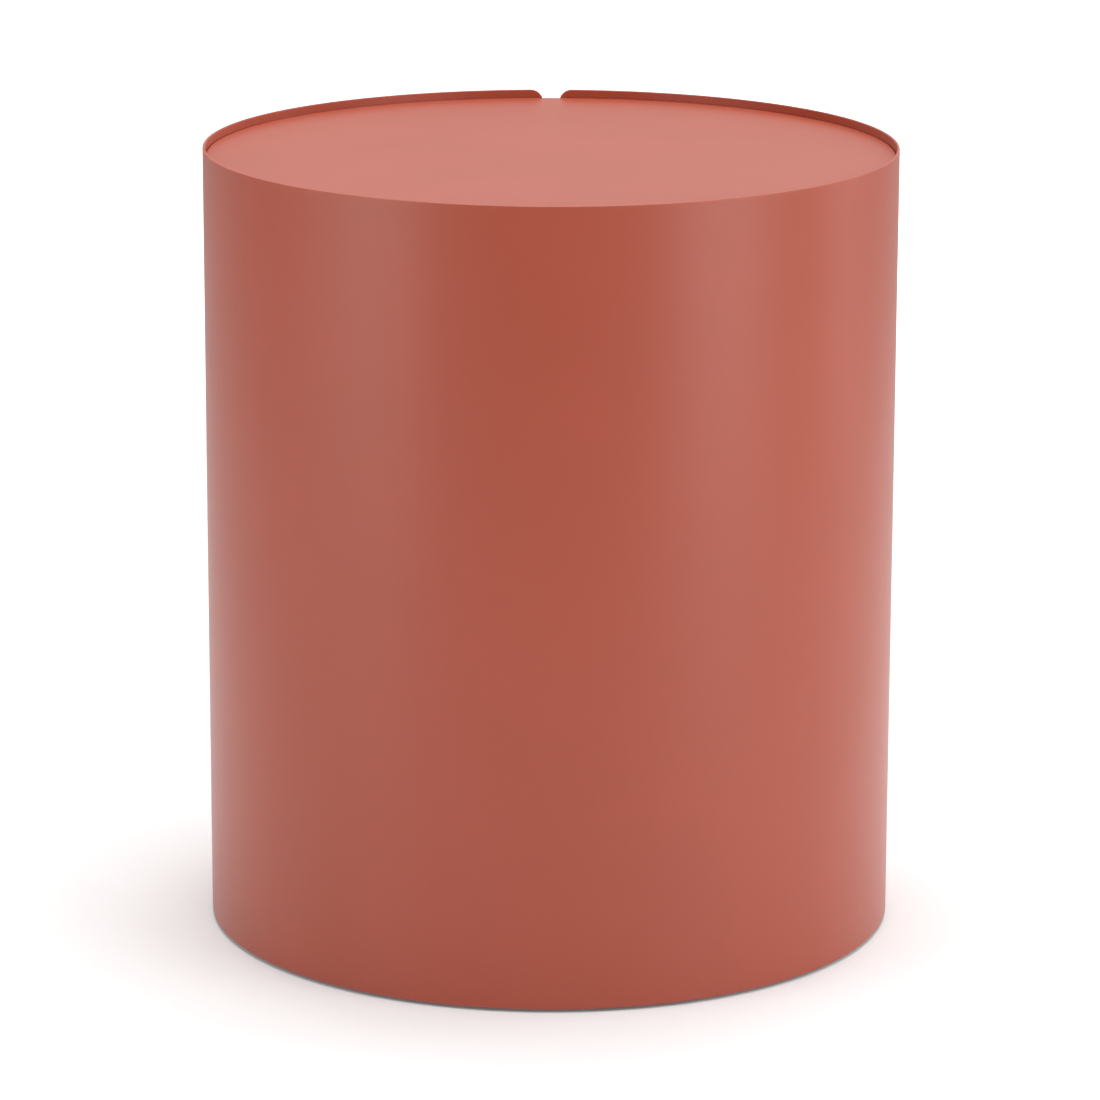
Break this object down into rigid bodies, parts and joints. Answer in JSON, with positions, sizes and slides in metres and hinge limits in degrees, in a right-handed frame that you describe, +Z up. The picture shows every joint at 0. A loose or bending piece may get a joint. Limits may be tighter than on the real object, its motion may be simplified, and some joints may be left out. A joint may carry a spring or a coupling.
{
  "type": "side table",
  "caption": "Round drum side table in coated sheet steel: plain closed drum, tray top set below a thin lip, cord notch in the lip at the back, levelling feet hidden inside the bottom edge.",
  "frame": {"origin": "on the floor under the centre of the drum, feet wound right in", "axes": "+Z up, +Y towards the cord notch at the back, so the front is -Y, +X to the right seen from the front"},
  "size_m": [0.4, 0.4, 0.457],
  "materials": {
    "coated_drum": "satin terracotta powder coat with a very fine texture",
    "coated_frame": "the same powder coat on the hidden frame",
    "zinc_steel": "bright zinc plated",
    "nylon": "matt black nylon",
    "felt": "pressed dark grey wool felt"
  },
  "bodies": {
    "root": {"outer_shell": "coated_drum", "table_top": "coated_drum", "left_brace": "coated_frame", "right_brace": "coated_frame", "top_support_ring": "coated_frame", "top_weld_studs": "zinc_steel", "top_washers": "zinc_steel", "top_nuts": "zinc_steel", "bottom_ring": "coated_frame", "foot_weld_nuts": "zinc_steel"},
    "foot_1": {"foot_base_1": "nylon", "foot_pad_1": "felt"},
    "stem_1": {"foot_stem_1": "zinc_steel"},
    "foot_2": {"foot_base_2": "nylon", "foot_pad_2": "felt"},
    "stem_2": {"foot_stem_2": "zinc_steel"},
    "foot_3": {"foot_base_3": "nylon", "foot_pad_3": "felt"},
    "stem_3": {"foot_stem_3": "zinc_steel"},
    "foot_4": {"foot_base_4": "nylon", "foot_pad_4": "felt"},
    "stem_4": {"foot_stem_4": "zinc_steel"}
  },
  "joints": [
    {"name": "foot_1_lift", "type": "slide", "parent": "root", "child": "foot_1", "axis": [0, 0, -1], "range_m": [0, 0.01]},
    {"name": "foot_1_turn", "type": "hinge", "parent": "foot_1", "child": "stem_1", "pos_m": [0.12374, 0.12374, 0], "axis": [0, 0, -1], "range_deg": [0, 2880]},
    {"name": "foot_2_lift", "type": "slide", "parent": "root", "child": "foot_2", "axis": [0, 0, -1], "range_m": [0, 0.01]},
    {"name": "foot_2_turn", "type": "hinge", "parent": "foot_2", "child": "stem_2", "pos_m": [-0.12374, 0.12374, 0], "axis": [0, 0, -1], "range_deg": [0, 2880]},
    {"name": "foot_3_lift", "type": "slide", "parent": "root", "child": "foot_3", "axis": [0, 0, -1], "range_m": [0, 0.01]},
    {"name": "foot_3_turn", "type": "hinge", "parent": "foot_3", "child": "stem_3", "pos_m": [-0.12374, -0.12374, 0], "axis": [0, 0, -1], "range_deg": [0, 2880]},
    {"name": "foot_4_lift", "type": "slide", "parent": "root", "child": "foot_4", "axis": [0, 0, -1], "range_m": [0, 0.01]},
    {"name": "foot_4_turn", "type": "hinge", "parent": "foot_4", "child": "stem_4", "pos_m": [0.12374, -0.12374, 0], "axis": [0, 0, -1], "range_deg": [0, 2880]}
  ],
  "couplings": [
    {"joint": "foot_1_lift", "follows": "foot_1_turn", "m_per_rad": 0.00019894},
    {"joint": "foot_2_lift", "follows": "foot_2_turn", "m_per_rad": 0.00019894},
    {"joint": "foot_3_lift", "follows": "foot_3_turn", "m_per_rad": 0.00019894},
    {"joint": "foot_4_lift", "follows": "foot_4_turn", "m_per_rad": 0.00019894}
  ]
}
